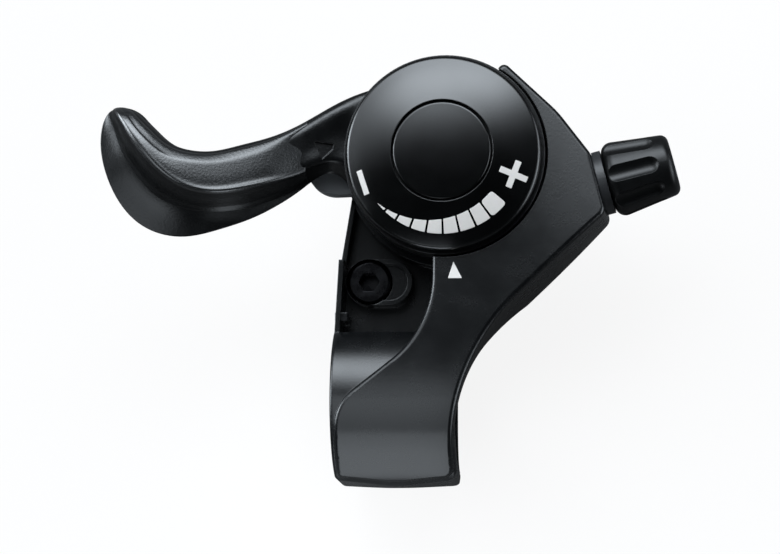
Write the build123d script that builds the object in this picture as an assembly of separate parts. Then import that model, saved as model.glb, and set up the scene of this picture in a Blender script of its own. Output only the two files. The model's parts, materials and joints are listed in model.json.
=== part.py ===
from build123d import *
import math
import os

os.makedirs("parts", exist_ok=True)

# Sizes are in millimetres. The handlebar runs along X through the origin, the dial looks along +Z.

# Handlebar clamp: a ring that narrows towards the back, and a strap that runs over its front
bar_radius = 11.1
clamp_wall = 2.4
clamp_half_width = 9.8
clamp_back_half_width = 8.3
clamp_taper_bend = 30.0
clamp_edge_round = 0.6
clamp_slit = 2.0
bar_relief = 0.4
relief_angle = 40.0
clamp_flare = 0.4
slit_middle = -4.4
strap_rise = 0.6
strap_inset = 0.6
strap_flare = 0.1
strap_end = 12.3
strap_bulge = 0.8
strap_end_bend = 30.0
strap_left_round = 0.9
strap_right_round = 1.8
strap_least_step = 0.2

# Clamp bolt, its washer and nut
bolt_inset = 5.3
bolt_y = 19.5
bolt_radius = 2.0
bolt_head_radius = 3.5
bolt_head_height = 4.0
bolt_head_edge = 0.4
bolt_socket = 3.0
bolt_socket_depth = 2.2
bolt_washer_thick = 0.8
bolt_overrun = 0.6
bolt_room = 0.25
nut_flats = 7.0
nut_thick = 3.2

# Pocket for the clamp bolt, with two low walls along its open side
ear_inset = 0.1
ear_reach = 6.5
ear_straight = 0.5
ear_overlap = 2.0
ear_under_head = 2.8
ear_under_nut = 1.9
rear_ear_inset = 0.6
rear_ear_reach = 4.3
rear_ear_round = 2.5
boss_length = 10.9
boss_width = 7.5
boss_shift = 1.6
boss_lip = 0.8
boss_dish_depth = 0.9
pocket_floor = 1.4
pocket_wall_thick = 0.8
pocket_low_wall = 8.0
wall_lean = 0.65
wall_foot = 3.2
wall_angle = 199.0
hook_foot = 2.0
hook_width = 1.3
hook_length = 2.0
hook_drop = 1.0

# Lever pivot and the stack on it, from the back of the bracket to the dial
pivot_x = 8.6
pivot_y = 38.7
back_face = -1.5
drum_floor = 4.4
floor_radius = 16.9
friction_thick = 0.5
drum_height = 4.4
plate_thick = 5.0
plate_radius = 16.2
stack_radius = 9.0
stack_depth = 3.2
stack_play = 0.4
keyed_thick = 0.9
wave_radius = 7.2
wave_height = 0.9
wave_thick = 0.35
screw_head_height = 1.9
screw_head_radius = 4.6
screw_head_round = 0.7
cross_width = 0.9
cross_length = 4.6
cross_depth = 1.1
pivot_screw_radius = 2.0
pivot_screw_length = 10.0
pivot_screw_room = 0.5
stud_radius = 4.0
stud_head_flats = 11.0
stud_head_height = 3.0
stud_flat_half = 3.2
stud_short = 0.1
bush_wall = 1.2
running_gap = 0.05
washer_inner_gap = 0.15

# Thumb lever with an arrow mark pressed into it and a hollow back
lever_reach = 55.4
lever_skin = 1.8
hollow_edge = 0.2
hollow_floor = 0.2
mark_x = -19.2
mark_y = 1.2
mark_level = 14.35
mark_tilt = 14.5
mark_depth = 0.45
mark_points = ((-1.86, 1.11), (1.31, 0.75), (1.18, -0.1), (-0.53, -1.81))

# Cable drum and the boss for the cable end
cable_radius = 10.1
cable_level = 7.1
groove_radius = 0.9
flange_depth = 1.3
nipple_distance = 18.3
nipple_angle = 182.0
nipple_radius = 4.8
nipple_height = 3.5
nipple_hole_radius = 2.3
key_circle = 10.2
key_length = 1.6
key_width = 3.0
key_height = 2.0
key_angles = (30, 150, 270)
cable_hole_radius = 0.9

# Dial and cap
dial_radius = 15.75
dial_seat = 0.5
dial_rim_height = 1.6
dial_rim_round = 0.9
dial_dome_height = 3.3
dial_wall = 1.8
cap_radius = 7.9
cap_gap = 0.35
cap_thick = 1.5
cap_dome = 0.55
cap_edge_round = 0.35
cap_floor_thick = 1.2
cap_floor_rim = 1.0
cap_stem_radius = 5.4
cap_stem_wall = 1.0
peg_radius = 1.1
peg_circle = 12.4
peg_length = 2.2
peg_room = 0.2
peg_angles = (90, 210, 330)
support_half = 1.2
opening_gap = 0.85

# Cover and arm of the bracket
cover_rise = 0.2
cover_slope_start = 22.0
cover_round = 0.8
cover_skin = 3.2
inner_overlap = 5.0
inner_round = 3.0
cheek_inset = 1.9
cheek_turn = 2.6
cheek_bend = 17.0
strap_bend = 8.0
strap_turn = -1.5
waist_turn = 5.8
waist_bend = 35.0
corner_round = 1.6
tip_round = 1.0
rim_wall = 1.0
rim_tip = 0.4
rim_end_angle = 59.5
rim_tangent_angle = 47.0
shoulder_reach = 8.2
shoulder_bend = 16.0
arm_fall_start = 4.0
arm_fall_radius = 79.0
arm_fall_turn = 24.0
arm_fall_angle = 40.0
arm_back_start = 9.0
arm_back_radius = 31.0
arm_back_turn = 38.0
hollow_wall = 1.8
hollow_reach = 17.0

# Cable adjuster
adjuster_angle = 15.0
arm_end = 22.6
arm_upper_half = 4.5
arm_lower_half = 5.6
collar_thick = 1.4
collar_radius = 5.2
knob_gap = 0.05
knob_length = 11.0
knob_inner_radius = 6.3
knob_outer_radius = 4.9
knob_inner_round = 1.8
knob_outer_round = 1.3
knob_end_band = 1.6
flute_count = 8
flute_radius = 2.0
flute_depth = 0.7
spring_room_radius = 4.1
spring_room_length = 4.2
spring_wire = 0.4
spring_turns = 3
spring_play = 0.05
stem_radius = 2.5
stem_room = 0.3
stem_overrun = 0.6
seat_radius = 2.6
seat_wall = 1.1
seat_depth = 4.8
seat_base = 1.4
seat_recess = 0.4
square_nut = 8.0
square_nut_thick = 3.4
square_nut_start = 16.8
guide_radius = 1.9
guide_start = 13.7
guide_length = 2.1

# Values that follow from the sizes
ring_radius = bar_radius + clamp_wall
strap_radius = ring_radius + strap_rise
drum_bottom = drum_floor + friction_thick
plate_bottom = drum_bottom + drum_height
drum_radius = cable_radius + flange_depth
hub_top = plate_bottom + plate_thick
cover_top = max(hub_top + cover_rise, strap_radius + strap_least_step)
stack_floor = hub_top - stack_depth
opening_radius = dial_radius + opening_gap
rim_radius = opening_radius + rim_wall
dial_bottom = hub_top + dial_seat
dial_edge = dial_bottom + dial_rim_height
dial_top = dial_edge + dial_dome_height
slit_top = slit_middle + clamp_slit / 2
slit_bottom = slit_middle - clamp_slit / 2
strap_left = clamp_half_width - strap_inset
bolt_x = bolt_inset - clamp_half_width
cheek_x = pivot_x - cheek_inset
pivot = Pos(pivot_x, pivot_y, 0)
far = 120.0
spare = 1.0

axis_cos = math.cos(math.radians(adjuster_angle))
axis_sin = math.sin(math.radians(adjuster_angle))
foot_x = pivot_x + cable_radius * axis_sin
foot_y = pivot_y - cable_radius * axis_cos
# Local Z of this plane is the adjuster axis, its zero is the point nearest to the pivot
adjuster = Plane(origin=(foot_x, foot_y, cable_level), x_dir=(0, 0, 1), z_dir=(axis_cos, axis_sin, 0))


def polar(radius, angle):
    turn = math.radians(angle)
    return radius * math.cos(turn), radius * math.sin(turn)


def along_axis(distance, aside):
    x = foot_x + distance * axis_cos - aside * axis_sin
    y = foot_y + distance * axis_sin + aside * axis_cos
    return x, y


def rod(radius, start, end):
    return Pos(0, 0, start) * Cylinder(radius, end - start, align=(Align.CENTER, Align.CENTER, Align.MIN))


def ring(outer, inner, start, end):
    return rod(outer, start, end) - rod(inner, start - spare, end + spare)


def block(outline, start, end):
    return Pos(0, 0, start) * extrude(make_face(outline), amount=end - start)


def polygon(*points):
    return Polyline(*points, close=True)


def hexagon(flats, start, end):
    return Pos(0, 0, start) * extrude(RegularPolygon(flats / 2, 6, major_radius=False), amount=end - start)


def slot(length, width, start, end):
    return Pos(0, 0, start) * extrude(SlotOverall(length, width), amount=end - start)


def top_edges(solid, level):
    # Edges between a face that looks up and a face that stands upright
    upward = [f for f in solid.faces() if f.normal_at().Z > level]
    shared = [e for f in upward for e in f.edges()]
    return [e for e in shared if shared.count(e) == 1]


def outer_edges(solid, height):
    # Round edges at one height
    return [e for e in solid.edges() if e.geom_type == GeomType.CIRCLE and abs(e.center().Z - height) < 0.05]


# Cover of the bracket: an outline seen from above, cut to a side profile across the bar
rim_x, rim_y = polar(rim_radius, rim_tangent_angle)
rim_dx, rim_dy = polar(shoulder_reach, rim_tangent_angle - 90)
tip_x, tip_y = polar(rim_radius + rim_tip, rim_end_angle)
inner_x, inner_y = polar(opening_radius - inner_overlap, rim_end_angle)
waist = Vector(clamp_half_width, waist_turn)
arm_low = Vector(*along_axis(arm_end, -arm_lower_half))
cover_points = [
    (cheek_x, pivot_y - opening_radius + inner_overlap),
    (cheek_x, ring_radius - cheek_turn),
    (-strap_left, strap_turn),
    (-strap_left, -strap_end),
    (0, -strap_end - strap_bulge),
    (clamp_half_width + strap_flare, -strap_end),
    (waist.X, waist.Y),
    (arm_low.X, arm_low.Y),
    along_axis(arm_end, arm_upper_half),
    (pivot_x + rim_x + rim_dx, pivot_y + rim_y + rim_dy),
    (pivot_x + tip_x, pivot_y + tip_y),
    (pivot_x + inner_x, pivot_y + inner_y),
]
cover_bends = [
    inner_round,
    cheek_bend,
    strap_bend,
    strap_left_round,
    strap_end_bend,
    strap_right_round,
    waist_bend,
    corner_round,
    corner_round,
    shoulder_bend,
    tip_round,
    inner_round,
]
cover_outline = FilletPolyline(*cover_points, radius=cover_bends, close=True)
cover = block(cover_outline, back_face, cover_top + spare)

# Side profile across the bar: level top, then one wide arc that runs into the round of the strap
wide = (cover_slope_start**2 + cover_top**2 - strap_radius**2) / (2 * (cover_top - strap_radius))
touch = math.degrees(math.asin(cover_slope_start / (wide - strap_radius)))
wide_y, wide_z = polar(wide, 90 + touch / 2)
touch_point = polar(strap_radius, 90 + touch)
strap_middle = polar(strap_radius, 135)
strap_foot = polar(strap_radius, 180)
slope_start = (cover_slope_start, cover_top)
slope_middle = (cover_slope_start + wide_y, cover_top - wide + wide_z)
side = Plane(origin=(-far / 2, 0, 0), x_dir=(0, 1, 0), z_dir=(1, 0, 0))
side_lines = [
    Line((far, back_face), (far, cover_top)),
    Line((far, cover_top), slope_start),
    ThreePointArc(slope_start, slope_middle, touch_point),
    ThreePointArc(touch_point, strap_middle, strap_foot),
    Line(strap_foot, (0, back_face)),
    Line((0, back_face), (far, back_face)),
]
side_profile = extrude(side * make_face(side_lines), amount=far)

# Lengthwise profiles of the arm: its top falls and its back rises towards the adjuster
def arm_plane(angle):
    turn_x, turn_y = polar(1, angle)
    return Plane(origin=(foot_x, foot_y, 0), x_dir=(turn_x, turn_y, 0), z_dir=(turn_y, -turn_x, 0))


fall = JernArc((arm_fall_start, cover_top), (1, 0), arm_fall_radius, -arm_fall_turn)
top_lines = [
    Line((-far, -far), (-far, cover_top)),
    Line((-far, cover_top), fall @ 0),
    fall,
    Line(fall @ 1, ((fall @ 1).X, -far)),
    Line(((fall @ 1).X, -far), (-far, -far)),
]
lift = JernArc((arm_back_start, back_face), (1, 0), arm_back_radius, arm_back_turn)
back_lines = [
    Line((arm_back_start, far), (arm_back_start, back_face)),
    lift,
    Line(lift @ 1, ((lift @ 1).X, far)),
    Line(((lift @ 1).X, far), (arm_back_start, far)),
]
fall_profile = extrude(arm_plane(arm_fall_angle) * make_face(top_lines), amount=far, both=True)
arm_front = Box(far, 2 * far, 2 * far, align=(Align.MAX, Align.CENTER, Align.CENTER))
arm_front = Pos(arm_back_start, 0, 0) * arm_front
back_profile = extrude(arm_plane(adjuster_angle) * make_face(back_lines), amount=far, both=True)
back_profile = back_profile + Pos(foot_x, foot_y, 0) * Rot(0, 0, adjuster_angle) * arm_front
cover = cover & side_profile & fall_profile & back_profile
cover = fillet(top_edges(cover, 0.2), cover_round)

# Clamp ring, narrower at its back
along_bar = Plane(origin=(-clamp_half_width, 0, 0), x_dir=(0, 1, 0), z_dir=(1, 0, 0))
taper_points = [
    (-clamp_half_width, ring_radius),
    (-clamp_half_width, 0),
    (-clamp_back_half_width, -ring_radius),
    (clamp_back_half_width, -ring_radius),
    (clamp_half_width + clamp_flare, 0),
    (clamp_half_width + clamp_flare, ring_radius),
]
taper_bends = [0, clamp_taper_bend, 0, 0, clamp_taper_bend, 0]
taper = Plane.XZ * make_face(FilletPolyline(*taper_points, radius=taper_bends, close=True))
ring_foot = ring_radius - strap_bulge
ring_points = [
    (-clamp_half_width, ring_radius),
    (-clamp_half_width, -ring_foot),
    (0, -ring_radius),
    (clamp_half_width + clamp_flare, -ring_foot),
    (clamp_half_width + clamp_flare, ring_radius),
]
ring_bends = [0, strap_left_round, strap_end_bend, strap_right_round, 0]
ring_outline = FilletPolyline(*ring_points, radius=ring_bends, close=True)
clamp_ring = along_bar * rod(ring_radius, -spare, 2 * clamp_half_width + clamp_flare + spare)
clamp_ring = clamp_ring & extrude(taper, amount=far, both=True)
clamp_ring = fillet([e for e in clamp_ring.edges() if e.geom_type != GeomType.LINE], clamp_edge_round)
clamp_ring = clamp_ring & block(ring_outline, -far, far)

# Front ear with the pocket floor, and rear ear with the nut
ear_left = -clamp_half_width + ear_inset
ear_right = cheek_x + ear_overlap
wall_x, wall_y = polar(floor_radius, wall_angle)
wall_low = Vector(ear_left + wall_lean, bolt_y + wall_foot)
wall_high = Vector(pivot_x + wall_x, pivot_y + wall_y)
ear_share = (bolt_y + ear_reach - wall_low.Y) / (wall_high.Y - wall_low.Y)
ear_corner = wall_low + (wall_high - wall_low) * ear_share
front_ear_points = [
    (ear_left, 0),
    (ear_left, bolt_y + ear_straight),
    (wall_low.X, wall_low.Y),
    (ear_corner.X, ear_corner.Y),
    (ear_right, ear_corner.Y),
    (ear_right, 0),
]
front_ear = block(polygon(*front_ear_points), slit_top, pocket_floor)
web_points = [
    (wall_low.X, wall_low.Y),
    (wall_high.X, wall_high.Y),
    (ear_right, wall_high.Y),
    (ear_right, wall_low.Y),
]
pocket_web = block(polygon(*web_points), back_face, pocket_floor)
rear_right = bolt_x + nut_flats
rear_top = bolt_y + rear_ear_reach
rear_ear_points = [
    (ear_left + rear_ear_inset, 0),
    (ear_left + rear_ear_inset, rear_top),
    (rear_right, rear_top),
    (rear_right, 0),
]
rear_outline = FilletPolyline(*rear_ear_points, radius=[0, rear_ear_round, rear_ear_round, 0], close=True)
nut_floor = slit_bottom - ear_under_nut
nut_bottom = nut_floor - nut_thick
rear_ear = block(rear_outline, nut_bottom, slit_bottom)
pocket_foot = ring_radius - cheek_turn
pocket_cut = Pos(cheek_x, pocket_foot, pocket_floor) * Box(
    far, far, far, align=(Align.MAX, Align.MIN, Align.MIN)
)

base = clamp_ring + front_ear + pocket_web + rear_ear - pocket_cut

# Floor under the drum, the bolt boss, the two low walls and the small hook on one of them
floor = pivot * rod(floor_radius, back_face, drum_floor)
boss_place = Pos(bolt_x + boss_shift, bolt_y, 0)
boss = boss_place * slot(boss_length, boss_width, slit_top, drum_floor)
boss_dish = boss_place * slot(
    boss_length - 2 * boss_lip, boss_width - 2 * boss_lip, drum_floor - boss_dish_depth, far
)
upper_wall_points = [
    (wall_low.X, wall_low.Y),
    (wall_high.X, wall_high.Y),
    (wall_high.X + pocket_wall_thick, wall_high.Y),
    (wall_low.X + pocket_wall_thick, wall_low.Y),
]
upper_wall = block(polygon(*upper_wall_points), back_face, drum_floor)
wall_start = pocket_foot - pocket_wall_thick
lower_wall_points = [
    (ear_left, wall_start),
    (wall_low.X, wall_low.Y),
    (wall_low.X + pocket_wall_thick, wall_low.Y),
    (ear_left + pocket_wall_thick, wall_start),
]
lower_wall = block(polygon(*lower_wall_points), slit_top, pocket_low_wall)
hook = Pos(ear_left, pocket_foot + hook_foot, slit_top) * Box(
    hook_length, hook_width, pocket_low_wall - hook_drop - slit_top, align=(Align.MIN, Align.MIN, Align.MIN)
)
body = base + cover + floor + boss + upper_wall + lower_wall + hook

# Room for the bar, the slit, the drum and the dial. Beside the clamp the arm stays clear of the bar, and
# its back slants away from the bar along a tangent.
bar_room = along_bar * rod(bar_radius, -far, 2 * clamp_half_width)
relief_radius = bar_radius + bar_relief
relief = Vector(*polar(relief_radius, relief_angle))
relief_run = (relief.Y - back_face) * math.tan(math.radians(relief_angle))
relief_points = [(0, -far), (0, 0), (relief.X, relief.Y), (relief.X + relief_run, back_face), (far, -far)]
bar_relief_room = rod(relief_radius, 0, far) + block(polygon(*relief_points), 0, far)
bar_room = bar_room + along_bar * Pos(0, 0, 2 * clamp_half_width) * bar_relief_room
slit_room = Pos(0, far / 2, slit_middle) * Box(far, far, clamp_slit)
drum_room = pivot * rod(opening_radius, drum_floor, far)
body = body - bar_room - slit_room - drum_room

# Holes for the clamp bolt and its nut
head_floor = slit_top + ear_under_head
bolt_place = Pos(bolt_x, bolt_y, 0)
head_room = rod(bolt_head_radius + bolt_room, head_floor, far)
shank_room = rod(bolt_radius + bolt_room, -far, far)
nut_room = hexagon(nut_flats + 2 * running_gap, -far, nut_floor)
body = body - boss_dish - bolt_place * (head_room + shank_room + nut_room)

# Holes for the pivot stud, its hexagon head and the cable adjuster
stud_seat = back_face + stud_head_height
stud_room = rod(stud_radius + running_gap, back_face - spare, drum_floor + spare)
stud_head_room = hexagon(stud_head_flats + 2 * running_gap, back_face - spare, stud_seat)
nut_slot = Pos(square_nut / 2 + running_gap, 0, square_nut_start - running_gap) * Box(
    far,
    square_nut + 2 * running_gap,
    square_nut_thick + 2 * running_gap,
    align=(Align.MAX, Align.CENTER, Align.MIN),
)
guide_end = guide_start + guide_length
stem_hole = rod(stem_radius + stem_room, guide_end, arm_end + spare)
guide_hole = rod(guide_radius, cable_radius / 2, guide_end + spare)
body = body - pivot * (stud_room + stud_head_room) - adjuster * (nut_slot + stem_hole + guide_hole)

# Hollow in the back of the arm, which keeps the wall even
arm_run = (arm_low - waist).normalized()
arm_inward = Vector(-arm_run.Y, arm_run.X) * hollow_wall
hollow_low = waist + arm_inward + arm_run * ((ring_radius + hollow_wall - waist.Y - arm_inward.Y) / arm_run.Y)
hollow_high = hollow_low + arm_run * hollow_reach
hollow_points = [
    (cheek_x + hollow_wall, hollow_low.Y),
    (hollow_low.X, hollow_low.Y),
    (hollow_high.X, hollow_high.Y),
    (cheek_x + hollow_wall, hollow_high.Y),
]
hollow = block(polygon(*hollow_points), -far, cover_top - cover_skin)
body = body - (hollow - pivot * rod(opening_radius + hollow_wall, -far, far))

# Clamp bolt, washer and nut
washer_top = head_floor + bolt_washer_thick
head_top = washer_top + bolt_head_height
head = chamfer(outer_edges(rod(bolt_head_radius, washer_top, head_top), head_top), bolt_head_edge)
shank_end = nut_bottom - bolt_overrun
shank = chamfer(outer_edges(rod(bolt_radius, shank_end, washer_top), shank_end), bolt_head_edge)
clamp_bolt = bolt_place * (head + shank - hexagon(bolt_socket, head_top - bolt_socket_depth, far))
clamp_washer = bolt_place * ring(bolt_head_radius, bolt_radius + running_gap, head_floor, washer_top)
clamp_nut = bolt_place * (hexagon(nut_flats, nut_bottom, nut_floor) - rod(bolt_radius, -far, far))

# Pivot stud with two flats near its end, and the screw that closes the stack
washer_seat = stack_floor + friction_thick
keyed_top = washer_seat + keyed_thick
screw_seat = keyed_top + wave_height
screw_end = screw_seat - pivot_screw_length
screw_top = screw_seat + screw_head_height
stud_neck = rod(stud_radius, washer_seat, keyed_top - stud_short) & Box(far, 2 * stud_flat_half, far)
stud = hexagon(stud_head_flats, back_face, stud_seat) + rod(stud_radius, stud_seat, washer_seat) + stud_neck
pivot_stud = pivot * (stud - rod(pivot_screw_radius, screw_end - pivot_screw_room, far))
screw_head = fillet(outer_edges(rod(screw_head_radius, screw_seat, screw_top), screw_top), screw_head_round)
cross = Box(cross_width, cross_length, 2 * cross_depth) + Box(cross_length, cross_width, 2 * cross_depth)
screw_blank = screw_head + rod(pivot_screw_radius, screw_end, screw_seat)
pivot_screw = pivot * (screw_blank - Pos(0, 0, screw_top) * cross)

# Friction washers, keyed washer and wave washer
washer_hole = stud_radius + washer_inner_gap
upper_radius = stack_radius - stack_play
lower_friction_washer = pivot * ring(stack_radius, washer_hole, drum_floor, drum_bottom)
upper_friction_washer = pivot * ring(upper_radius, washer_hole, stack_floor, washer_seat)
keyed_hole = rod(stud_radius + running_gap, washer_seat - spare, keyed_top + spare)
keyed_hole = keyed_hole & Box(far, 2 * (stud_flat_half + running_gap), far)
keyed_washer = pivot * (rod(upper_radius, washer_seat, keyed_top) - keyed_hole)
wave_rise = wave_height - wave_thick
wave_bend = (wave_radius**2 + wave_rise**2) / (2 * wave_rise)
wave_shell = Cylinder(wave_bend, far) - Cylinder(wave_bend - wave_thick, far)
wave_shell = Pos(0, 0, screw_seat - wave_bend) * Rot(90, 0, 0) * wave_shell
wave_washer = pivot * (ring(wave_radius, washer_hole, keyed_top, screw_seat) & wave_shell)

# Dial: a domed shell with a recess for the cap and three pegs
dome_radius = (dial_radius**2 + dial_dome_height**2) / (2 * dial_dome_height)
dome_centre = dial_top - dome_radius


def dome_height(radius, inset):
    return dome_centre + math.sqrt((dome_radius - inset) ** 2 - radius**2)


def domed_disc(radius, bottom, edge, middle, top):
    lines = [
        Line((0, bottom), (radius, bottom)),
        Line((radius, bottom), (radius, edge)),
        ThreePointArc((radius, edge), (radius / 2, middle), (0, top)),
        Line((0, top), (0, bottom)),
    ]
    return revolve(Plane.XZ * make_face(lines), Axis.Z)


dial_blank = domed_disc(dial_radius, dial_bottom, dial_edge, dome_height(dial_radius / 2, 0), dial_top)
dial_blank = fillet(outer_edges(dial_blank, dial_edge), dial_rim_round)
inner_radius = dial_radius - dial_wall
inner_edge = dome_height(inner_radius, dial_wall)
inner_middle = dome_height(inner_radius / 2, dial_wall)
inner_dome = domed_disc(inner_radius, 0, inner_edge, inner_middle, dial_top - dial_wall)
recess_radius = cap_radius + cap_gap
recess = dome_height(recess_radius, 0) - cap_thick
cap_floor_bottom = recess - cap_floor_thick
support = ring(peg_circle + support_half, peg_circle - support_half, hub_top, dial_edge)
cap_floor = ring(recess_radius + cap_floor_rim, cap_stem_radius + running_gap, cap_floor_bottom, recess)
dial_disc = dial_blank - inner_dome + support + cap_floor - rod(recess_radius, recess, far)
dial_pegs = [
    Pos(*polar(peg_circle, angle), 0) * rod(peg_radius, hub_top - peg_length, dial_bottom)
    for angle in peg_angles
]
indicator_dial = pivot * (dial_disc + dial_pegs)

# Cap with its own slight dome and a stem that snaps into the dial
cap_edge = recess + cap_thick
cap_sphere = (cap_radius**2 + cap_dome**2) / (2 * cap_dome)
cap_middle = cap_edge + cap_dome - cap_sphere + math.sqrt(cap_sphere**2 - cap_radius**2 / 4)
cap_blank = domed_disc(cap_radius, recess, cap_edge, cap_middle, cap_edge + cap_dome)
cap_blank = fillet(outer_edges(cap_blank, cap_edge), cap_edge_round)
cap_stem = ring(cap_stem_radius, cap_stem_radius - cap_stem_wall, cap_floor_bottom, recess)
centre_cap = pivot * (cap_blank + cap_stem)

# Lever arm: closed sections across it, from inside the hub to the tip, seen from the pivot.
# Each row has the upper edge, the outer edge, the crest over the hub top and the underside over the
# bottom of the hub plate, then three shares of the width where the crest, the face and the pad begin,
# and the heights of the pad's inner and outer edge over the hub top.
lever_rows = [
    (-8.6, 12.8, -10.6, -5.4, -1.9, 0.1, 0.10, 0.86, 0.95, -3.2, -3.9),
    (-14.1, 10.4, -16.2, -3.8, -0.8, 0.1, 0.10, 0.87, 0.95, -2.9, -3.8),
    (-18.8, 8.0, -20.0, -2.6, 0.2, 0.1, 0.11, 0.87, 0.95, -2.5, -3.5),
    (-23.4, 5.2, -23.5, -5.1, 1.3, 0.7, 0.14, 0.76, 0.90, -1.7, -2.9),
    (-28.1, 2.9, -27.3, -7.9, 3.0, 2.3, 0.15, 0.62, 0.82, -0.4, -1.7),
    (-32.3, 1.5, -31.4, -10.2, 4.7, 3.9, 0.15, 0.55, 0.78, 1.3, -0.3),
    (-36.3, 0.3, -36.1, -12.0, 6.3, 5.4, 0.13, 0.49, 0.72, 2.6, 1.0),
    (-40.1, 0.2, -42.0, -13.2, 7.5, 5.6, 0.11, 0.44, 0.64, 3.4, 1.4),
    (-43.5, 1.3, -47.9, -11.8, 8.1, 5.7, 0.11, 0.40, 0.57, 3.8, 1.6),
    (-46.0, 3.4, -52.2, -7.8, 8.3, 5.9, 0.12, 0.38, 0.53, 4.1, 1.8),
    (-47.7, 5.0, -54.7, -2.5, 8.1, 6.1, 0.13, 0.38, 0.54, 4.3, 2.1),
    (-49.3, 6.5, -55.4, 3.0, 7.4, 6.5, 0.15, 0.42, 0.58, 4.4, 2.6),
    (-51.0, 7.3, -54.5, 6.1, 6.1, 7.3, 0.20, 0.50, 0.68, 4.5, 3.3),
    (-52.2, 7.4, -53.4, 7.1, 4.9, 8.3, 0.25, 0.55, 0.75, 4.2, 3.8),
]
lever_scale = lever_reach / max(-row[2] for row in lever_rows)


def lever_section(row):
    ux, uy, lx, ly = [lever_scale * place for place in row[:4]]
    rise, lift_up, crest, face, shelf, pad_inner, pad_outer = row[4:]
    top = hub_top + rise
    under = plate_bottom + lift_up
    inner = hub_top + pad_inner
    outer = hub_top + pad_outer
    depth = top - under
    upper_points = [
        (0.0, top - 0.42 * depth),
        (crest * 0.35, top - 0.12 * depth),
        (crest, top),
        (crest * 0.67 + face * 0.33, top + 0.01 * depth),
        (crest * 0.33 + face * 0.67, top - 0.02 * depth),
        (face, top - 0.08 * depth),
        (face + 0.4 * (shelf - face), (top + inner) / 2),
        (shelf, inner),
        ((1 + shelf) / 2, (inner + 2 * outer) / 3),
        (1.0, outer),
    ]
    lower_points = [
        (1.0, outer),
        (0.97, outer * 0.4 + under * 0.6),
        (0.5 + shelf * 0.4, under),
        (0.5, under),
        (0.3, under),
        (0.07, under + 0.08 * depth),
        (0.0, top - 0.42 * depth),
    ]
    edges = [
        Spline(*[Vector(ux + (lx - ux) * share, uy + (ly - uy) * share, z) for share, z in points])
        for points in (upper_points, lower_points)
    ]
    return Wire(edges)


def hollow_section(row):
    ux, uy, lx, ly = [lever_scale * place for place in row[:4]]
    rise, lift_up, crest, face, shelf, pad_inner, pad_outer = row[4:]
    roof = hub_top + rise - lever_skin
    under = plate_bottom + lift_up
    points = [
        (hollow_edge, under - spare),
        (hollow_edge, roof),
        (face, roof),
        (shelf, max(hub_top + pad_inner - lever_skin, under + hollow_floor)),
        (shelf, under - spare),
    ]
    places = [(ux + (lx - ux) * share, uy + (ly - uy) * share, z) for share, z in points]
    return Wire(Polyline(*places, close=True))


lever_arm = Solid.make_loft([lever_section(row) for row in lever_rows])
lever_hollow = Solid.make_loft([hollow_section(row) for row in lever_rows[4:-3]], ruled=True)
arrow_place = Pos(mark_x, mark_y, mark_level) * Rot(0, mark_tilt, 0)
arrow_mark = arrow_place * block(polygon(*mark_points), -mark_depth, spare)
lever_arm = lever_arm - lever_hollow - arrow_mark

# Lever hub: plate under the dial, with sockets for the keys of the drum
bush_radius = stud_radius + running_gap + bush_wall
plate = rod(plate_radius, plate_bottom, hub_top)


def drum_keys(room):
    key = Box(
        key_length + 2 * room,
        key_width + 2 * room,
        key_height + room + spare,
        align=(Align.CENTER, Align.CENTER, Align.MIN),
    )
    return [Rot(0, 0, angle) * Pos(key_circle, 0, plate_bottom - spare) * key for angle in key_angles]


peg_holes = [
    Pos(*polar(peg_circle, angle), 0) * rod(peg_radius + running_gap, hub_top - peg_length - peg_room, far)
    for angle in peg_angles
]
lever = plate + lever_arm
lever = lever - rod(bush_radius, -far, far) - rod(stack_radius, stack_floor, far) - peg_holes
lever = lever - drum_keys(running_gap) - rod(drum_radius + spare, -far, plate_bottom)
thumb_lever = pivot * lever

# Cable drum: groove, keys, and the boss that holds the cable end
groove_middle = cable_radius + groove_radius
channel_top = cable_level + groove_radius
groove = Pos(0, 0, cable_level) * Torus(groove_middle, groove_radius)
groove_mouth = ring(drum_radius + spare, groove_middle, cable_level - groove_radius, channel_top)
drum = rod(drum_radius, drum_bottom, plate_bottom) - groove - groove_mouth
nipple_x, nipple_y = polar(nipple_distance, nipple_angle)
nipple_place = Pos(nipple_x, nipple_y, 0)
nipple_web = Rot(0, 0, nipple_angle) * Pos(0, 0, drum_bottom) * Box(
    nipple_distance, 2 * nipple_radius, nipple_height, align=(Align.MIN, Align.CENTER, Align.MIN)
)
nipple_boss = nipple_place * rod(nipple_radius, drum_bottom, drum_bottom + nipple_height)
nipple_boss = nipple_boss + nipple_web - rod(cable_radius, -far, far)
drum = drum + nipple_boss + drum_keys(0)

# Hole for the cable end, and a channel from it to the groove
nipple_hole = nipple_place * rod(nipple_hole_radius, -far, channel_top)
channel_turn = math.acos(groove_middle / nipple_distance)
channel_length = nipple_distance * math.sin(channel_turn)
channel_angle = nipple_angle + math.degrees(channel_turn) + 90
channel = nipple_place * Rot(0, 0, channel_angle) * Pos(0, 0, drum_bottom - spare) * Box(
    channel_length,
    2 * groove_radius,
    channel_top - drum_bottom + spare,
    align=(Align.MIN, Align.CENTER, Align.MIN),
)
cable_drum = pivot * (drum - rod(bush_radius, -far, far) - nipple_hole - channel)
hub_bush = pivot * ring(bush_radius, stud_radius + running_gap, drum_bottom, stack_floor)

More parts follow.
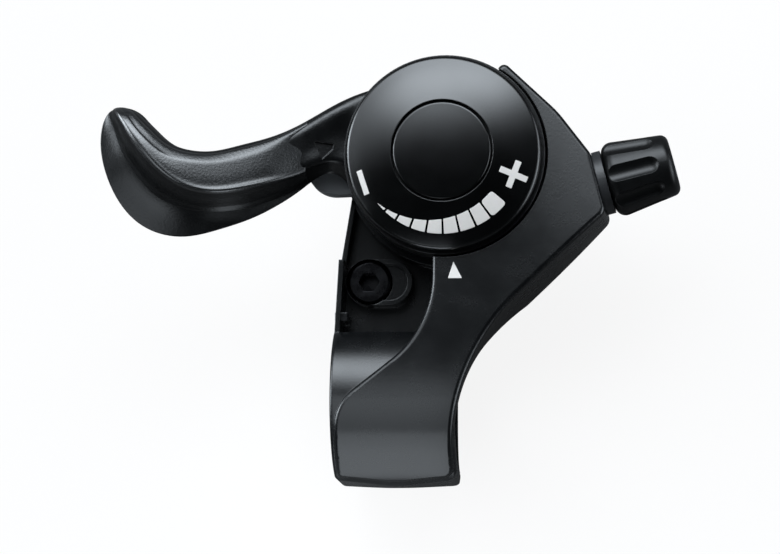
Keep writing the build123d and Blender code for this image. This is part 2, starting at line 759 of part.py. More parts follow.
# Cable adjuster along local Z: collar, nut, guide, hollow screw, spring and fluted knob
collar_top = arm_end + collar_thick
knob_start = collar_top + knob_gap
knob_end = knob_start + knob_length
adjuster_collar = adjuster * ring(collar_radius, stem_radius + stem_room, arm_end, collar_top)
nut_block = Pos(0, 0, square_nut_start) * Box(
    square_nut, square_nut, square_nut_thick, align=(Align.CENTER, Align.CENTER, Align.MIN)
)
adjuster_nut = adjuster * (nut_block - rod(stem_radius + running_gap, 0, far))
cable_guide = adjuster * ring(guide_radius, cable_hole_radius, guide_start, guide_end)
seat_end = knob_end - seat_recess
seat_floor = seat_end - seat_depth
seat_outer = seat_radius + seat_wall
seat_bottom = seat_floor - seat_base
stem = rod(stem_radius, square_nut_start - stem_overrun, seat_floor)
seat_cup = rod(seat_outer, seat_bottom, seat_end)
seat_hole = rod(seat_radius, seat_floor, far)
adjuster_screw = adjuster * (stem + seat_cup - seat_hole - rod(cable_hole_radius, 0, far))
spring_end = knob_start + spring_room_length
coil_radius = (spring_room_radius + stem_radius) / 2
coil_height = spring_end - collar_top - 2 * spring_wire - 2 * spring_play
coil = Pos(0, 0, collar_top + spring_wire + spring_play) * Helix(
    coil_height / spring_turns, coil_height, coil_radius
)
coil_section = Plane(coil @ 0, z_dir=coil % 0) * Circle(spring_wire)
adjuster_spring = adjuster * sweep(coil_section, coil)

knob_points = [(0, knob_start), (knob_inner_radius, knob_start), (knob_outer_radius, knob_end), (0, knob_end)]
knob_bends = [0, knob_inner_round, knob_outer_round, 0]
knob_outline = FilletPolyline(*knob_points, radius=knob_bends, close=True)
knob = revolve(Plane.XZ * make_face(knob_outline), Axis.Z)
flute_stop = knob_end - knob_end_band - flute_radius
flute_aside = (knob_inner_radius + knob_outer_radius) / 2 - flute_depth + flute_radius
flute_lean = math.degrees(math.atan2(knob_inner_radius - knob_outer_radius, knob_length))
flute = rod(flute_radius, knob_start - flute_radius, flute_stop)
flute = flute + Pos(0, 0, flute_stop) * Sphere(flute_radius)
knob_middle = (knob_start + knob_end) / 2
flute = Pos(flute_aside, 0, knob_middle) * Rot(0, -flute_lean, 0) * Pos(0, 0, -knob_middle) * flute
knob = knob - PolarLocations(0, flute_count) * flute
knob = knob - rod(spring_room_radius, 0, spring_end) - rod(stem_radius, 0, far)
knob = knob - rod(seat_outer, seat_bottom, far)
adjuster_knob = adjuster * knob

parts = {
    "bracket_body": body,
    "thumb_lever": thumb_lever,
    "cable_drum": cable_drum,
    "indicator_dial": indicator_dial,
    "centre_cap": centre_cap,
    "clamp_bolt": clamp_bolt,
    "clamp_washer": clamp_washer,
    "clamp_nut": clamp_nut,
    "pivot_stud": pivot_stud,
    "pivot_screw": pivot_screw,
    "lower_friction_washer": lower_friction_washer,
    "upper_friction_washer": upper_friction_washer,
    "keyed_washer": keyed_washer,
    "wave_washer": wave_washer,
    "hub_bush": hub_bush,
    "adjuster_collar": adjuster_collar,
    "adjuster_nut": adjuster_nut,
    "cable_guide": cable_guide,
    "adjuster_screw": adjuster_screw,
    "adjuster_spring": adjuster_spring,
    "adjuster_knob": adjuster_knob,
}
for name, shape in parts.items():
    export_step(shape, f"parts/{name}.step")
    print(name, round(shape.volume, 1), len(shape.solids()))
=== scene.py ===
import json
import math

import bpy
import numpy as np
from mathutils import Matrix, Vector


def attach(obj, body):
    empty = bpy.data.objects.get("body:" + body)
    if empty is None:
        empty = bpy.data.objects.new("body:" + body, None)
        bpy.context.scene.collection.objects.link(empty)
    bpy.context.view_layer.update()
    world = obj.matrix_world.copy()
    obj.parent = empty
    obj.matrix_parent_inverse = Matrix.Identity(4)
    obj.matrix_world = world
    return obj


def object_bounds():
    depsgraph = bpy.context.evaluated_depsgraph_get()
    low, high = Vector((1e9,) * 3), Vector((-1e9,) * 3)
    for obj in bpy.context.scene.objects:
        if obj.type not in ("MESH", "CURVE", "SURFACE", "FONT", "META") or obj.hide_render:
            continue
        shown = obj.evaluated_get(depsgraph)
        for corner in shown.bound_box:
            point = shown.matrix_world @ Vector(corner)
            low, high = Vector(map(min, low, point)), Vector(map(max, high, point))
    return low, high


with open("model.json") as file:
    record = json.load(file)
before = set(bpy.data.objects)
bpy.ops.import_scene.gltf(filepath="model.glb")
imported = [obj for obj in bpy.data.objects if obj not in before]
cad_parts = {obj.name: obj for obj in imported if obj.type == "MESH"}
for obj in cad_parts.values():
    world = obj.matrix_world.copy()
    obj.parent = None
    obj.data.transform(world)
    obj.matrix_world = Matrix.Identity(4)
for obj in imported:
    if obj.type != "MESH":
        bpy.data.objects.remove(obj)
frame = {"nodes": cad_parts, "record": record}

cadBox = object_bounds()
scene = bpy.context.scene
scene.view_settings.view_transform = "Standard"
mm = 0.001
print("frame loaded with", len(frame["nodes"]), "nodes")


# camera: nearly straight down on the dial, a little from the right and from the handlebar side
cameraSetup = {
    "target": (-0.7, 19.8, 8.0),        # mm, point in the middle of the picture
    "towards": (0.105, -0.139, 0.985),  # from the object to the camera
    "distance": 1000.0,                 # mm
    "viewWidth": 125.8,                 # mm across the picture at the target
    "roll": 0.42,                       # degrees
    "clipEnd": 20.0,                    # m
}


def addCamera(setup):
    back = Vector(setup["towards"]).normalized()
    up = (Vector((0, 1, 0)) - back * back.y).normalized()
    up = Matrix.Rotation(math.radians(setup["roll"]), 3, back) @ up
    right = up.cross(back)
    data = bpy.data.cameras.new("camera")
    data.lens = data.sensor_width * setup["distance"] / setup["viewWidth"]
    data.clip_end = setup["clipEnd"]
    camera = bpy.data.objects.new("camera", data)
    place = (Vector(setup["target"]) + back * setup["distance"]) * mm
    turn = Matrix((right, up, back)).transposed().to_4x4()
    camera.matrix_world = Matrix.Translation(place) @ turn
    scene.collection.objects.link(camera)
    scene.camera = camera


addCamera(cameraSetup)
print("camera placed")


# shader maths: one socket with operators, and one method for every other node
class Value:
    def __init__(self, tree, out=None):
        self.tree = tree
        self.out = out

    def node(self, kind, settings=None, inputs=None, out=0):
        made = self.tree.nodes.new(kind)
        for key, value in (settings or {}).items():
            setattr(made, key, value)
        for key, value in (inputs or {}).items():
            if isinstance(value, Value):
                self.tree.links.new(value.out, made.inputs[key])
            else:
                made.inputs[key].default_value = value
        return Value(self.tree, made.outputs[out] if made.outputs else None)

    def math(self, operation, *values, clamp=False):
        settings = {"operation": operation, "use_clamp": clamp}
        return self.node("ShaderNodeMath", settings, dict(enumerate(values)))

    def __add__(self, other):
        return self.math("ADD", self, other)

    def __radd__(self, other):
        return self.math("ADD", other, self)

    def __sub__(self, other):
        return self.math("SUBTRACT", self, other)

    def __rsub__(self, other):
        return self.math("SUBTRACT", other, self)

    def __mul__(self, other):
        return self.math("MULTIPLY", self, other)

    def __rmul__(self, other):
        return self.math("MULTIPLY", other, self)

    def __pow__(self, other):
        return self.math("POWER", self, other)

    # smooth step from 0 to 1 between two levels
    def step(self, low, high):
        settings = {"interpolation_type": "SMOOTHSTEP"}
        return self.node("ShaderNodeMapRange", settings, {"Value": self, "From Min": low, "From Max": high})

    def axis(self, letter):
        return self.node("ShaderNodeSeparateXYZ", None, {"Vector": self}, out=letter)

    # length along a direction
    def along(self, direction):
        settings = {"operation": "DOT_PRODUCT"}
        return self.node("ShaderNodeVectorMath", settings, {0: self, 1: direction}, out="Value")

    # noise at this place, the scale counted per metre
    def noise(self, scale, detail, roughness=0.5):
        inputs = {"Vector": self, "Scale": scale, "Detail": detail, "Roughness": roughness}
        return self.node("ShaderNodeTexNoise", None, inputs)


# inputs 6 and 7 and output 2 are the Mix node's colours
def mixColour(share, low, high):
    settings = {"data_type": "RGBA"}
    return share.node("ShaderNodeMix", settings, {"Factor": share, 6: low, 7: high}, out=2)


def shaded(colour, share):
    return tuple(share * part for part in colour[:3]) + (1,)


def emptyMaterial(name):
    material = bpy.data.materials.new(name)
    material.use_nodes = True
    material.node_tree.nodes.clear()
    return material, Value(material.node_tree)


def closeMaterial(tree, shader):
    tree.node("ShaderNodeOutputMaterial", None, {"Surface": shader})


# floor and studio: a pale floor under a smooth sky, with one wide softbox on the dial side, cards at
# both ends and a dim one in front
stageSetup = {
    "floorDrop": 0.4,          # mm under the lowest point
    "floorSize": 6.0,          # m
    "floorColour": (0.86, 0.85, 0.84, 1),
    "floorSpeckle": (40.0, 3.0),   # specks per metre, detail
    "speckleShade": 0.985,     # share of the colour in the darker specks
    "floorBounce": 0.12,       # share of the colour which the object sees
    "floorWhite": 0.88,        # share of plain white that the background is made of
    "floorGloss": 0.01,        # share of plain white in reflections
}
# a card covers the sky where the direction along its axis passes from low to high, raised to a power;
# aside fades it to both sides, foot fades it near the floor, upper keeps it on the dial side
skySetup = {
    "base": 0.004,
    "tint": (0.905, 0.985, 1.06, 1),
    "cards": {
        "key": {
            "axis": (-0.14, 0.99, 0), "range": (0.05, 0.70), "power": 2.3, "strength": 7.5,
            "aside": (0.25, 0.85), "foot": (0.28, 0.68),
        },
        "left": {
            "axis": (-1, 0, 0), "range": (0.78, 0.98), "power": 1.0, "strength": 9.0,
            "upper": (-0.30, 0.10),
        },
        "leftUp": {
            "axis": (-1, 0, 0), "range": (0.45, 0.95), "power": 1.0, "strength": 1.8,
            "upper": (-0.05, 0.35),
        },
        "right": {"axis": (1, 0, 0), "range": (0.78, 0.98), "power": 1.0, "strength": 4.0},
        "front": {"axis": (0, -1, 0), "range": (0.50, 0.95), "power": 1.0, "strength": 0.06},
    },
}
# small cards close to the strap and to the lever's pad: mm, watts and degrees
lampSetup = {
    "strap_top": {
        "place": (-7, -18, 44), "aim": (-7, -18, 13), "size": (32, 44), "power": 0.0033, "spread": 125,
    },
    "strap_front": {
        "place": (-5, -31, 12), "aim": (-5, -10, 6), "size": (28, 42), "power": 0.0044, "spread": 130,
    },
    "pad_front": {
        "place": (-55, 18, 45), "aim": (-39, 34, 17), "size": (26, 26), "power": 0.0006, "spread": 70,
    },
}


def addFloor(setup):
    lowest = cadBox[0][2] - setup["floorDrop"] * mm
    half = setup["floorSize"] / 2
    corners = np.array([(-half, -half), (half, -half), (half, half), (-half, half)])
    points = np.column_stack([corners, np.full(len(corners), lowest)])
    mesh = bpy.data.meshes.new("floor")
    mesh.from_pydata(points.tolist(), [], [(0, 1, 2, 3)])
    floor = bpy.data.objects.new("floor", mesh)
    scene.collection.objects.link(floor)
    material, tree = emptyMaterial("pale_floor")
    place = tree.node("ShaderNodeTexCoord", out="Object")
    speckle = place.noise(*setup["floorSpeckle"])
    dark = shaded(setup["floorColour"], setup["speckleShade"])
    colour = mixColour(speckle, dark, setup["floorColour"])
    shown = tree.node("ShaderNodeLightPath", out="Is Camera Ray")
    bounce = shaded(setup["floorColour"], setup["floorBounce"])
    matte = tree.node("ShaderNodeBsdfDiffuse", None, {"Color": mixColour(shown, bounce, colour)})
    white = tree.node("ShaderNodeEmission", None, {"Color": (1, 1, 1, 1), "Strength": 1.0})
    glossy = tree.node("ShaderNodeLightPath", out="Is Glossy Ray")
    through = tree.node("ShaderNodeLightPath", out="Is Transmission Ray")
    share = tree.math("MAXIMUM", shown, through) * setup["floorWhite"]
    share = tree.math("MAXIMUM", share, glossy * setup["floorGloss"])
    closeMaterial(tree, tree.node("ShaderNodeMixShader", None, {0: share, 1: matte, 2: white}))
    mesh.materials.append(material)


# sky: the sum of the cards over a dark base; the camera sees plain white instead
def addWorld(setup):
    world = bpy.data.worlds.new("studio")
    world.use_nodes = True
    world.node_tree.nodes.clear()
    tree = Value(world.node_tree)
    way = tree.node("ShaderNodeTexCoord", out="Generated")
    total = setup["base"]
    for card in setup["cards"].values():
        cover = way.along(card["axis"]).step(*card["range"]) ** card["power"]
        if "aside" in card:
            cover = cover * (1 - tree.math("ABSOLUTE", way.axis("X")).step(*card["aside"]))
        if "foot" in card:
            cover = cover * way.axis("Z").step(*card["foot"])
        if "upper" in card:
            cover = cover * way.axis("Y").step(*card["upper"])
        total = total + cover * card["strength"]
    sky = tree.node("ShaderNodeBackground", None, {"Color": setup["tint"], "Strength": total})
    plain = tree.node("ShaderNodeBackground", None, {"Color": (1, 1, 1, 1), "Strength": 1.0})
    shown = tree.node("ShaderNodeLightPath", out="Is Camera Ray")
    seen = tree.node("ShaderNodeMixShader", None, {0: shown, 1: sky, 2: plain})
    tree.node("ShaderNodeOutputWorld", None, {"Surface": seen})
    scene.world = world


def addLamp(name, setup):
    data = bpy.data.lights.new(name, "AREA")
    data.shape = "RECTANGLE"
    data.size = setup["size"][0] * mm
    data.size_y = setup["size"][1] * mm
    data.energy = setup["power"]
    data.spread = math.radians(setup["spread"])
    data.color = skySetup["tint"][:3]
    lamp = bpy.data.objects.new(name, data)
    place = Vector(setup["place"]) * mm
    away = (place - Vector(setup["aim"]) * mm).normalized()
    turn = away.to_track_quat("Z", "Y").to_matrix().to_4x4()
    lamp.matrix_world = Matrix.Translation(place) @ turn
    lamp.visible_camera = False
    scene.collection.objects.link(lamp)


addFloor(stageSetup)
addWorld(skySetup)
for lampName, lampValues in lampSetup.items():
    addLamp(lampName, lampValues)
print("stage and lamps placed")


# moulded plastic: cool black with a fine spark grain, soft cloudy roughness and rounded edges;
# grain, its depth and the radius of edges in mm
plasticLooks = {
    "body_plastic": {
        "dark": (0.0018, 0.0021, 0.0024, 1), "light": (0.0038, 0.0042, 0.0046, 1),
        "roughness": (0.22, 0.30), "ior": 1.52,
        "grain": 0.30, "grainDepth": 0.012, "edge": 0.22, "wear": 0.25,
    },
    "lever_plastic": {
        "dark": (0.0012, 0.0014, 0.0016, 1), "light": (0.0046, 0.0049, 0.0052, 1),
        "roughness": (0.26, 0.36), "ior": 1.50,
        "grain": 0.28, "grainDepth": 0.030, "edge": 0.22, "wear": 0.35,
    },
    # lever face: grained and coated like a textured grip, and its base colour is painted lighter than the
    # lever's own plastic, a painted light on the face that turns to the softbox
    "face_plastic_painted_light": {
        "dark": (0.0030, 0.0033, 0.0036, 1), "light": (0.0110, 0.0117, 0.0123, 1),
        "roughness": (0.26, 0.36), "ior": 1.60,
        "grain": 0.30, "grainDepth": 0.060, "edge": 0.20, "wear": 0.30,
        "coat": 1.0, "coatRoughness": 0.19,
        "coatEnds": (-24, -13),   # mm along the handlebar, from full coat to none
    },
    "drum_plastic": {
        "dark": (0.080, 0.084, 0.088, 1), "light": (0.120, 0.125, 0.130, 1),
        "roughness": (0.42, 0.54), "ior": 1.50,
        "grain": 0.32, "grainDepth": 0.008, "edge": 0.20, "wear": 0.20,
    },
    "dial_plastic": {
        "dark": (0.0006, 0.0007, 0.0008, 1), "light": (0.0014, 0.0016, 0.0017, 1),
        "roughness": (0.18, 0.23), "ior": 1.62,
        "grain": 0.26, "grainDepth": 0.004, "edge": 0.18, "wear": 0.15,
    },
    "knob_plastic": {
        "dark": (0.0015, 0.0017, 0.0018, 1), "light": (0.0035, 0.0038, 0.0040, 1),
        "roughness": (0.30, 0.40), "ior": 1.42,
        "grain": 0.30, "grainDepth": 0.008, "edge": 0.18, "wear": 0.20,
    },
    "collar_plastic": {
        "dark": (0.020, 0.021, 0.022, 1), "light": (0.032, 0.033, 0.035, 1),
        "roughness": (0.40, 0.52), "ior": 1.52,
        "grain": 0.30, "grainDepth": 0.010, "edge": 0.15, "wear": 0.20,
    },
    "friction_plastic": {
        "dark": (0.62, 0.60, 0.55, 1), "light": (0.72, 0.70, 0.65, 1),
        "roughness": (0.40, 0.55), "ior": 1.50,
        "grain": 0.35, "grainDepth": 0.006, "edge": 0.10, "wear": 0.10,
    },
}
# values that all mouldings share; a share is that of the first kind of noise, the other has the rest
mouldSetup = {
    "fine": (2.0, 0.6),          # detail and roughness of the fine noise
    "pitScale": 0.8,             # scale of the pits against the fine noise
    "cloud": (160.0, 4.0, 0.55),  # clouds per metre, detail, roughness
    "cloudRange": (0.3, 0.7),
    "heightShare": 0.6,          # fine noise, then pits
    "roughShare": 0.6,           # clouds, then fine noise
    "toneShare": 0.55,           # clouds, then fine noise
    "edgeRange": (0.02, 0.30),   # how far the rounded normal bends, from flat to edge
    "edgePolish": 0.05,          # roughness taken off at edges
}
bevelSamples = 6


# a share of the first value and the rest of the second
def weighted(share, first, second):
    return share * first + (1 - share) * second


# grain height is a share of fine noise and a share of smooth pits; edges come from the bevelled normal
def plasticMaterial(name, look, setup):
    material, tree = emptyMaterial(name)
    place = tree.node("ShaderNodeTexCoord", out="Object")
    scale = 1.0 / (look["grain"] * mm)
    fine = place.noise(scale, *setup["fine"])
    pits = place.node(
        "ShaderNodeTexVoronoi", {"feature": "SMOOTH_F1"},
        {"Vector": place, "Scale": setup["pitScale"] * scale},
    )
    cloud = place.noise(*setup["cloud"]).step(*setup["cloudRange"])
    height = weighted(setup["heightShare"], fine, pits)
    bevel = tree.node("ShaderNodeBevel", {"samples": bevelSamples}, {"Radius": look["edge"] * mm})
    plain = tree.node("ShaderNodeNewGeometry", out="Normal")
    edge = (1 - bevel.along(plain)).step(*setup["edgeRange"])
    grained = tree.node(
        "ShaderNodeBump", None,
        {"Strength": 1.0, "Distance": look["grainDepth"] * mm, "Height": height, "Normal": bevel},
    )
    smooth, rough = look["roughness"]
    matt = weighted(setup["roughShare"], cloud, fine)
    roughness = smooth + (rough - smooth) * matt - setup["edgePolish"] * edge
    tone = tree.math("ADD", weighted(setup["toneShare"], cloud, fine), edge * look["wear"], clamp=True)
    colour = mixColour(tone, look["dark"], look["light"])
    inputs = {"Base Color": colour, "Roughness": roughness, "IOR": look["ior"], "Normal": grained}
    if "coat" in look:
        full, none = look["coatEnds"]
        inputs["Coat Weight"] = look["coat"] * (1 - place.axis("X").step(full * mm, none * mm))
        inputs["Coat Roughness"] = look["coatRoughness"]
    closeMaterial(tree, tree.node("ShaderNodeBsdfPrincipled", None, inputs))
    return material


# metal: brushed zinc plate, turned brass and black oxide, with fine streaks and small scuffs
metalLooks = {
    "plated_steel": {
        "dark": (0.42, 0.42, 0.43, 1), "light": (0.62, 0.62, 0.63, 1), "roughness": (0.24, 0.40),
    },
    "bush_brass": {
        "dark": (0.55, 0.40, 0.18, 1), "light": (0.74, 0.57, 0.30, 1), "roughness": (0.22, 0.36),
    },
    "black_steel": {
        "dark": (0.010, 0.010, 0.011, 1), "light": (0.034, 0.034, 0.036, 1), "roughness": (0.22, 0.34),
    },
}
# values that all metals share
brushSetup = {
    "streaks": (900, 900, 9000),   # per metre along each axis
    "streakDetail": 3.0,
    "streakDepth": 0.003,          # mm
    "streakShare": 0.5,            # streaks, then scuffs
    "scuff": (420.0, 5.0, 0.6),    # per metre, detail, roughness
    "scuffRange": (0.35, 0.65),
    "edge": 0.12,                  # mm, radius of edges
}


def metalMaterial(name, look, setup):
    material, tree = emptyMaterial(name)
    place = tree.node("ShaderNodeTexCoord", out="Object")
    stretched = tree.node("ShaderNodeMapping", None, {"Vector": place, "Scale": setup["streaks"]})
    streak = stretched.noise(1.0, setup["streakDetail"])
    scuff = place.noise(*setup["scuff"]).step(*setup["scuffRange"])
    bevel = tree.node("ShaderNodeBevel", {"samples": bevelSamples}, {"Radius": setup["edge"] * mm})
    brushed = tree.node(
        "ShaderNodeBump", None,
        {"Strength": 1.0, "Distance": setup["streakDepth"] * mm, "Height": streak, "Normal": bevel},
    )
    smooth, rough = look["roughness"]
    share = weighted(setup["streakShare"], streak, scuff)
    shader = tree.node(
        "ShaderNodeBsdfPrincipled", None,
        {"Base Color": mixColour(share, look["dark"], look["light"]), "Metallic": 1.0,
         "Roughness": smooth + (rough - smooth) * share, "Normal": brushed},
    )
    closeMaterial(tree, shader)
    return material


materials = {name: plasticMaterial(name, look, mouldSetup) for name, look in plasticLooks.items()}
materials.update({name: metalMaterial(name, look, brushSetup) for name, look in metalLooks.items()})
slotOf = {piece["node"]: piece["material_slot"] for piece in frame["record"]["subparts"]}
for nodeName, node in frame["nodes"].items():
    node.data.materials.clear()
    node.data.materials.append(materials[slotOf[nodeName]])
print("finishes put on", len(slotOf), "nodes")


# dial and cover as the solids have them, in mm: the marks and the lever face are placed by these
dialSetup = {
    "pivot": (8.6, 38.7),
    "domeRadius": 39.235,
    "domeCentre": -19.535,
    "coverTop": 14.5,
}


# lever face: a grained bar on the front of the lever, in mm, x and y counted from the pivot
faceSetup = {
    # each row has x and y of the upper edge, x and y of the outer edge, the level of the crest and the
    # depth under it, the shares of the width where the crest, the lip, the shoulder and the foot of the
    # wall are, the levels of shoulder and pad, how far the lip is over the crest, and its raised edge
    "rows": (
        (-22.0, 6.1, -22.4, -4.2, 15.12, 5.2, 0.13, 0.84, 0.87, 0.94, 14.3, 12.1, -0.20, 0.00),
        (-24.6, 4.6, -24.4, -5.8, 16.00, 5.6, 0.14, 0.78, 0.82, 0.91, 15.5, 12.8, 0.16, 0.08),
        (-28.1, 2.9, -27.3, -7.9, 17.3, 5.7, 0.15, 0.70, 0.76, 0.86, 16.8, 13.8, 0.70, 0.16),
        (-32.3, 1.5, -31.4, -10.2, 19.0, 5.8, 0.15, 0.63, 0.70, 0.82, 18.4, 15.4, 0.92, 0.16),
        (-36.3, 0.3, -36.1, -12.0, 20.6, 5.9, 0.13, 0.56, 0.63, 0.76, 19.9, 16.7, 1.00, 0.10),
        (-40.1, 0.2, -42.0, -13.2, 21.8, 6.9, 0.11, 0.44, 0.52, 0.67, 21.2, 17.5, 1.05, 0.03),
        (-43.5, 1.3, -47.9, -11.8, 22.4, 7.4, 0.11, 0.32, 0.43, 0.60, 22.0, 17.9, 1.15, 0.00),
        (-46.0, 3.4, -52.2, -7.8, 22.6, 7.4, 0.12, 0.27, 0.41, 0.56, 22.2, 18.2, 1.15, 0.00),
        (-47.7, 5.0, -54.7, -2.5, 22.4, 7.0, 0.13, 0.27, 0.41, 0.57, 22.0, 18.4, 1.00, 0.00),
        (-49.3, 6.5, -55.4, 3.0, 21.7, 5.9, 0.15, 0.32, 0.46, 0.61, 21.4, 18.5, 0.75, 0.00),
        (-51.0, 7.3, -54.5, 6.1, 20.4, 3.8, 0.20, 0.42, 0.56, 0.72, 20.1, 18.6, 0.35, 0.00),
        (-52.2, 7.4, -53.4, 7.1, 19.0, 1.6, 0.25, 0.50, 0.62, 0.78, 18.7, 17.9, -0.20, 0.00),
    ),
    # each line is a point of the section: how much of crest, lip, shoulder and foot adds up to its place,
    # then how much of top, depth, rise, edge, shoulder and pad adds up to its level
    "section": (
        (0.22, 0, 0, 0, 1, -0.25, 0, 0, 0, 0),
        (0.44, 0, 0, 0, 1, -0.077, 0, 0, 0, 0),
        (0.85, 0, 0, 0, 1, 0, 0.08, 0, 0, 0),
        (1.35, 0, 0, 0, 1, 0, 0.47, 0, 0, 0),
        (0.90, 0.25, 0, 0, 1, 0, 0.67, 0, 0, 0),
        (0.45, 0.60, 0, 0, 1, 0, 0.87, 0, 0, 0),
        (0, 0.89, 0, 0, 1, 0, 0.95, 0, 0, 0),
        (0, 0.97, 0, 0, 1, 0, 1, 1, 0, 0),
        (0, 0.65, 0.35, 0, 0.85, 0, 0.85, 0.85, 0.15, 0),
        (0, 0, 1, 0, 0, 0, 0, 0, 1, 0),
        (0, 0, 0.60, 0.40, 0, 0, 0, 0, 0.55, 0.45),
        (0, 0, 0.25, 0.75, 0, 0, 0, 0, 0.15, 0.85),
        (0, 0, 0, 1, 0, 0, 0, 0, 0, 1),
        (0, 0, 0, 1, 0, 0, 0, 0, 0, 1),
    ),
    "toeOut": 0.4,     # last point of the section beyond the foot
    "toeDrop": 0.6,    # and below the pad
    "stations": 170,
    "across": 90,
    "sink": 0.5,       # back of the bar below its front or below the crest of the lever
    # from this share on, the section leaves the face's painted lighter colour and its coat
    "wallFrom": 0.63,  # share of the section where the coat ends
}


# cubic through rows of values at even steps, smooth to the second order and free at its ends
def smoothRows(rows, at):
    count = len(rows)
    beside = np.ones(count - 1)
    left = np.diag(np.full(count, 4.0)) + np.diag(beside, 1) + np.diag(beside, -1)
    left[0, 0] = left[-1, -1] = 2.0
    right = 3 * np.concatenate([rows[1:2] - rows[:1], rows[2:] - rows[:-2], rows[-1:] - rows[-2:-1]])
    slope = np.linalg.solve(left, right)
    index = np.clip(at.astype(int), 0, count - 2)
    part = (at - index)[:, None]
    near = rows[index] * (1 + 2 * part) * (1 - part) ** 2 + rows[index + 1] * part ** 2 * (3 - 2 * part)
    return near + slope[index] * part * (1 - part) ** 2 + slope[index + 1] * part ** 2 * (part - 1)


# section: up from the edge, over a round crest, along a face that leans to the crest, over the lip and
# down the wall; the back has the same plan and is sunk into the lever
def addLeverFace(setup):
    rows = np.array(setup["rows"])
    rows = smoothRows(rows, np.linspace(0, len(rows) - 1, setup["stations"]))
    ux, uy, lx, ly, top, depth, crest, lip, shoulder, foot, low, pad, rise, edge = rows.T
    weights = np.array(setup["section"])
    shares = weights[:, :4] @ np.array([crest, lip, shoulder, foot])
    levels = weights[:, 4:] @ np.array([top, depth, rise, edge, low, pad])
    shares[-1] += setup["toeOut"] / np.hypot(lx - ux, ly - uy)
    levels[-1] -= setup["toeDrop"]
    line = np.linspace(0, len(weights) - 1, setup["across"])
    share = smoothRows(shares, line).T
    level = smoothRows(levels, line).T
    px, py = dialSetup["pivot"]
    x = px + ux[:, None] + (lx - ux)[:, None] * share
    y = py + uy[:, None] + (ly - uy)[:, None] * share
    front = np.dstack([x, y, level])
    back = np.dstack([x, y, np.minimum(level, top[:, None]) - setup["sink"]])
    count, across = level.shape
    loop = np.concatenate([front, back[:, ::-1]], axis=1)
    index = np.arange(count * 2 * across).reshape(count, 2 * across)
    after = np.roll(index, -1, axis=1)
    sides = np.stack([index[:-1], index[1:], after[1:], after[:-1]], axis=-1).reshape(-1, 4)
    # each end is closed by a strip between front and back
    ends = []
    for row, turn in ((index[0], 1), (index[-1], -1)):
        upper, lower = row[:across], row[::-1][:across]
        ends.append(np.stack([upper[:-1], upper[1:], lower[1:], lower[:-1]], axis=-1)[:, ::turn])
    faces = np.vstack([sides] + ends)
    mesh = bpy.data.meshes.new("lever_face")
    mesh.from_pydata((loop.reshape(-1, 3) * mm).tolist(), [], faces.tolist())
    mesh.update()
    mesh.polygons.foreach_set("use_smooth", np.ones(len(mesh.polygons), bool))
    # the front takes the face plastic with its painted lighter colour; the wall, back and ends keep the
    # lever's own plastic
    mesh.materials.append(materials["face_plastic_painted_light"])
    mesh.materials.append(materials["lever_plastic"])
    # wall, back and ends have the finish of the lever
    wall = np.tile(np.arange(2 * across) > setup["wallFrom"] * across, count - 1)
    second = np.append(wall, np.ones(2 * (across - 1), bool))
    mesh.polygons.foreach_set("material_index", second.astype(np.int32))
    bar = bpy.data.objects.new("lever_face", mesh)
    scene.collection.objects.link(bar)
    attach(bar, "lever")


# printed marks: a thin pad of paint that follows the surface under it
paintSetup = {
    "rise": 0.03,          # mm over the surface
    "sink": 0.05,          # mm below it
    "spacing": 0.07,       # mm between points of an outline
    "fewest": 24,          # points of a short outline
    "soft": 0.10,          # mm, rounding of corners
    "rings": (0.25, 0.5, 0.75, 0.96, 1.0, 1.0),     # size of each ring against the outline
    "ringRises": (1.0, 1.0, 1.0, 1.0, 0.6, 0.0),    # its height between underside and top
    "colour": (0.79, 0.75, 0.71, 1),
    "shade": (0.67, 0.635, 0.60, 1),
    "roughness": (0.45, 0.60),
    "fine": (4200.0, 2.0),   # per metre, detail
    "cloud": (700.0, 3.0),   # per metre, detail
    "fineShare": 0.5,      # fine noise in the colour, then clouds
    "grainDepth": 0.004,   # mm
}


def paintMaterial(setup):
    material, tree = emptyMaterial("mark_paint")
    place = tree.node("ShaderNodeTexCoord", out="Object")
    fine = place.noise(*setup["fine"])
    cloud = place.noise(*setup["cloud"])
    colour = mixColour(weighted(setup["fineShare"], fine, cloud), setup["shade"], setup["colour"])
    bump = tree.node("ShaderNodeBump", None, {"Distance": setup["grainDepth"] * mm, "Height": fine})
    smooth, rough = setup["roughness"]
    shader = tree.node(
        "ShaderNodeBsdfPrincipled", None,
        {"Base Color": colour, "Roughness": smooth + (rough - smooth) * cloud, "Normal": bump},
    )
    closeMaterial(tree, shader)
    return material


paint = paintMaterial(paintSetup)


# closed outline with even spacing, its corners rounded by a running mean
def softOutline(corners, setup, soft):
    loop = np.vstack([corners, corners[:1]])
    length = np.concatenate([[0], np.cumsum(np.hypot(*np.diff(loop, axis=0).T))])
    count = max(setup["fewest"], int(length[-1] / setup["spacing"]))
    at = np.linspace(0, length[-1], count, endpoint=False)
    points = np.column_stack([np.interp(at, length, loop[:, 0]), np.interp(at, length, loop[:, 1])])
    reach = max(1, int(round(soft / setup["spacing"])))
    return np.mean([np.roll(points, shift, axis=0) for shift in range(-reach, reach + 1)], axis=0)


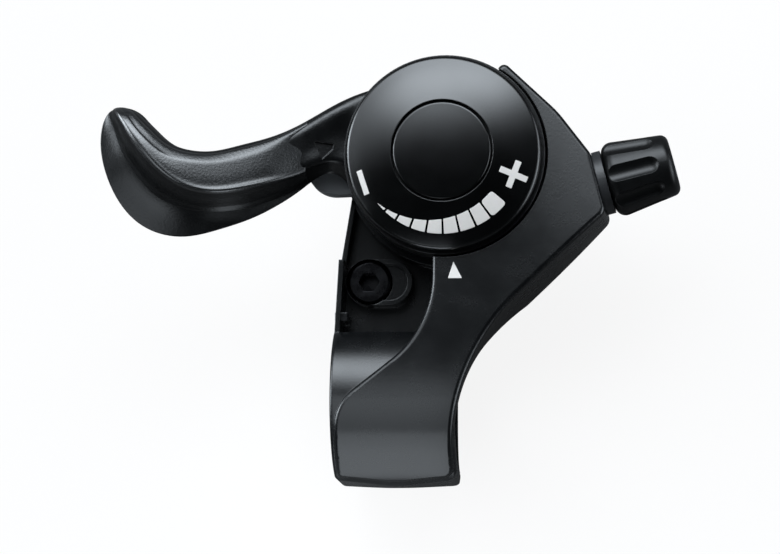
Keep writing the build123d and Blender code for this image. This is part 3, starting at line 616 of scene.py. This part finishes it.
# pad: rings shrunk from the outline to its middle, on the surface plus a rise that falls at the rim,
# closed below
def paintPad(name, corners, heightAt, body, setup, soft=None):
    outline = softOutline(np.asarray(corners, float), setup, soft or setup["soft"])
    middle = outline.mean(axis=0)
    sizes = np.array(setup["rings"])
    rises = np.array(setup["ringRises"]) * (setup["rise"] + setup["sink"]) - setup["sink"]
    plan = middle + sizes[:, None, None] * (outline - middle)
    level = heightAt(plan[..., 0], plan[..., 1]) + rises[:, None]
    rings, count = level.shape
    ends = np.array([[middle[0], middle[1], heightAt(*middle) + setup["rise"]],
                     [middle[0], middle[1], heightAt(*middle) - setup["sink"]]])
    points = np.vstack([np.dstack([plan, level]).reshape(-1, 3), ends]) * mm
    index = np.arange(rings * count).reshape(rings, count)
    after = np.roll(index, -1, axis=1)
    quads = np.stack([index[:-1], index[1:], after[1:], after[:-1]], axis=-1).reshape(-1, 4)
    top = np.column_stack([np.full(count, rings * count), index[0], after[0]])
    bottom = np.column_stack([np.full(count, rings * count + 1), after[-1], index[-1]])
    faces = quads.tolist() + top.tolist() + bottom.tolist()
    mesh = bpy.data.meshes.new(name)
    mesh.from_pydata(points.tolist(), [], faces)
    mesh.update()
    mesh.materials.append(paint)
    pad = bpy.data.objects.new(name, mesh)
    scene.collection.objects.link(pad)
    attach(pad, body)


# dome: the height of a sphere over the dial's face
def domeAt(x, y):
    px, py = dialSetup["pivot"]
    away = (x - px) ** 2 + (y - py) ** 2
    return dialSetup["domeCentre"] + np.sqrt(dialSetup["domeRadius"] ** 2 - away)


# cover: flat
def coverAt(x, y):
    return dialSetup["coverTop"] + 0 * x


# polar place on the dial, the angle counted from straight below the pivot
def dialPoint(radius, angle):
    turn = np.radians(angle)
    px, py = dialSetup["pivot"]
    return np.column_stack([px + radius * np.sin(turn), py - radius * np.cos(turn)])


# scale: outer edge on a circle, inner edge a square law from the thin end to the thick end
scaleSetup = {
    "outer": 13.3,       # mm
    "thick": 10.32,      # mm, inner edge at the thick end
    "stops": (-51.9, -44.0, -34.1, -22.8, -11.3, 0.6, 12.2, 24.4, 36.4, 50.6),   # degrees
    "gap": 0.38,         # mm between blocks
    "lastSoft": 0.55,    # mm, rounding of the thick end
    "points": 40,        # on each long edge of a block
}


def addScale(setup):
    stops = setup["stops"]
    first, last = stops[0], stops[-1]
    blocks = len(stops) - 1
    slack = np.degrees(setup["gap"] / 2 / setup["outer"])
    for number, (low, high) in enumerate(zip(stops[:-1], stops[1:]), 1):
        low = low + slack * (number > 1)
        high = high - slack * (number < blocks)
        angles = np.linspace(low, high, setup["points"])
        share = ((last - angles) / (last - first)) ** 2
        inner = setup["thick"] + (setup["outer"] - setup["thick"]) * share
        edge = np.vstack([dialPoint(setup["outer"], angles), dialPoint(inner, angles)[::-1]])
        soft = setup["lastSoft"] if number == blocks else None
        paintPad(f"scale_block_{number}", edge, domeAt, "lever", paintSetup, soft)


# signs: bars by their length and width in mm, turned about their middle, which is counted from the
# pivot; the pointer is a triangle on the cover
signSetup = {
    "minusAt": (-12.8, -4.9), "minusLength": 4.1, "minusWidth": 0.9, "minusTurn": -71.7,
    "plusAt": (11.46, -3.84), "plusLength": 4.55, "plusWidth": 0.98, "plusTurn": -21.0,
    "pointer": ((10.19, 21.3), (9.3, 18.62), (11.56, 18.62)),
}


def turned(points, angle, at):
    turn = np.radians(angle)
    spin = np.array([[np.cos(turn), np.sin(turn)], [-np.sin(turn), np.cos(turn)]])
    return np.asarray(points, float) @ spin + np.asarray(at) + np.asarray(dialSetup["pivot"])


def addSigns(setup):
    a, b = setup["minusLength"] / 2, setup["minusWidth"] / 2
    bar = [(-a, -b), (a, -b), (a, b), (-a, b)]
    paintPad("minus_sign", turned(bar, setup["minusTurn"], setup["minusAt"]), domeAt, "lever", paintSetup)
    a, b = setup["plusLength"] / 2, setup["plusWidth"] / 2
    cross = [
        (a, -b), (a, b), (b, b), (b, a), (-b, a), (-b, b),
        (-a, b), (-a, -b), (-b, -b), (-b, -a), (b, -a), (b, -b),
    ]
    paintPad("plus_sign", turned(cross, setup["plusTurn"], setup["plusAt"]), domeAt, "lever", paintSetup)
    paintPad("pointer_mark", np.array(setup["pointer"]), coverAt, "bracket", paintSetup)


addLeverFace(faceSetup)
addScale(scaleSetup)
addSigns(signSetup)
print("lever face and marks put on")
